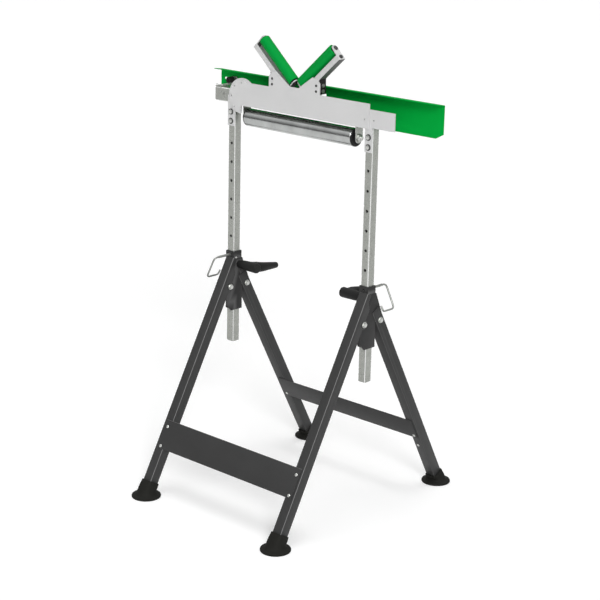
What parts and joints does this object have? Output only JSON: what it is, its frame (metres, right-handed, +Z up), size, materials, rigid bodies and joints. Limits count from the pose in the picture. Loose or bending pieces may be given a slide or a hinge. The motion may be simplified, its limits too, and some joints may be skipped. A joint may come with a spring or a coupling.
{
  "type": "roller stand",
  "caption": "Folding work support stand with height-adjustable posts, a swinging V of rollers, a steel roller and a sliding rail.",
  "frame": {"origin": "on the floor under the middle of the overall box, about 40 mm to the right of the middle between the two posts", "axes": "+X from the left post to the right post seen from the front, +Y to the rear, +Z up"},
  "size_m": [0.798, 0.752, 1.2702],
  "materials": {
    "dark_paint": "satin anthracite paint over steel angle",
    "zinc": "bright zinc plating",
    "black_plastic": "moulded, fine grain",
    "rubber": "moulded, matte",
    "galvanised": "galvanised tube and sheet",
    "grey_paint": "smooth light grey paint",
    "green_plastic": "smooth moulded",
    "roller_steel": "turned steel tube",
    "green_paint": "smooth gloss paint"
  },
  "bodies": {
    "base": {"left_sleeve": "dark_paint", "left_front_pivot_bolt": "zinc", "left_rear_pivot_bolt": "zinc", "right_sleeve": "dark_paint", "right_front_pivot_bolt": "zinc", "right_rear_pivot_bolt": "zinc"},
    "front_legs": {"left_front_leg": "dark_paint", "left_front_foot": "rubber", "right_front_leg": "dark_paint", "right_front_foot": "rubber", "front_brace": "dark_paint"},
    "rear_legs": {"left_rear_leg": "dark_paint", "left_rear_foot": "rubber", "right_rear_leg": "dark_paint", "right_rear_foot": "rubber", "rear_brace": "dark_paint"},
    "head": {"left_post": "galvanised", "left_bracket": "grey_paint", "left_tab_bolt_1": "zinc", "left_tab_bolt_2": "zinc", "left_hanger": "galvanised", "left_axle_nut": "zinc", "left_rail_bracket": "galvanised", "left_rail_bolt": "zinc", "right_post": "galvanised", "right_bracket": "grey_paint", "right_tab_bolt_1": "zinc", "right_tab_bolt_2": "zinc", "right_hanger": "galvanised", "right_axle_nut": "zinc", "right_rail_bracket": "galvanised", "right_rail_bolt": "zinc", "cross_beam": "galvanised", "steel_roller_axle": "zinc"},
    "steel_roller_body": {"left_roller_cap": "black_plastic", "right_roller_cap": "black_plastic", "steel_roller": "roller_steel"},
    "v_head": {"left_v_arm": "grey_paint", "left_v_axle": "zinc", "right_v_arm": "grey_paint", "right_v_axle": "zinc", "v_plate": "grey_paint", "swing_nut": "zinc"},
    "left_v_roller_body": {"left_v_roller": "green_plastic"},
    "right_v_roller_body": {"right_v_roller": "green_plastic"},
    "rail_body": {"rail": "green_paint"},
    "left_knob": {"left_rail_knob": "black_plastic"},
    "right_knob": {"right_rail_knob": "black_plastic"},
    "left_lever": {"left_clamp_lever": "black_plastic", "left_lever_stud": "zinc"},
    "right_lever": {"right_clamp_lever": "black_plastic", "right_lever_stud": "zinc"},
    "left_pin": {"left_lock_pin": "zinc"},
    "right_pin": {"right_lock_pin": "zinc"}
  },
  "joints": [
    {"name": "front_legs_fold", "type": "hinge", "parent": "base", "child": "front_legs", "pos_m": [-0.039, -0.02418, 0.552], "axis": [1, 0, 0], "range_deg": [0, 24]},
    {"name": "rear_legs_fold", "type": "hinge", "parent": "base", "child": "rear_legs", "pos_m": [-0.039, 0.04182, 0.552], "axis": [-1, 0, 0], "range_deg": [0, 24]},
    {"name": "head_lift", "type": "slide", "parent": "base", "child": "head", "axis": [0, 0, 1], "range_m": [-0.31998, 0.05333]},
    {"name": "left_lever_turn", "type": "hinge", "parent": "base", "child": "left_lever", "pos_m": [-0.27, 0.01082, 0.613], "axis": [-1, 0, 0], "range_deg": [0, 90]},
    {"name": "right_lever_turn", "type": "hinge", "parent": "base", "child": "right_lever", "pos_m": [0.195, 0.01082, 0.613], "axis": [-1, 0, 0], "range_deg": [0, 90]},
    {"name": "left_pin_slide", "type": "slide", "parent": "base", "child": "left_pin", "axis": [0, 1, 0], "range_m": [0, 0.039]},
    {"name": "right_pin_slide", "type": "slide", "parent": "base", "child": "right_pin", "axis": [0, -1, 0], "range_m": [0, 0.039]},
    {"name": "v_head_swing", "type": "hinge", "parent": "head", "child": "v_head", "pos_m": [-0.246, -0.00898, 1.094], "axis": [0, -1, 0], "range_deg": [0, 90]},
    {"name": "left_v_roller_spin", "type": "hinge", "parent": "v_head", "child": "left_v_roller_body", "pos_m": [-0.0653, 0.00532, 1.1584], "axis": [-0.7431, 0, 0.6691], "continuous": true},
    {"name": "right_v_roller_spin", "type": "hinge", "parent": "v_head", "child": "right_v_roller_body", "pos_m": [-0.0367, 0.00532, 1.1584], "axis": [0.7431, 0, 0.6691], "continuous": true},
    {"name": "steel_roller_spin", "type": "hinge", "parent": "head", "child": "steel_roller_body", "pos_m": [-0.047, 0.01782, 1.0363], "axis": [1, 0, 0], "continuous": true},
    {"name": "rail_slide", "type": "slide", "parent": "head", "child": "rail_body", "axis": [1, 0, 0], "range_m": [-0.03, 0.03]},
    {"name": "left_knob_turn", "type": "hinge", "parent": "head", "child": "left_knob", "pos_m": [-0.351, 0.04982, 1.1233], "axis": [0, 1, 0], "range_deg": [0, 360]},
    {"name": "right_knob_turn", "type": "hinge", "parent": "head", "child": "right_knob", "pos_m": [-0.034, 0.04982, 1.1233], "axis": [0, 1, 0], "range_deg": [0, 360]}
  ]
}
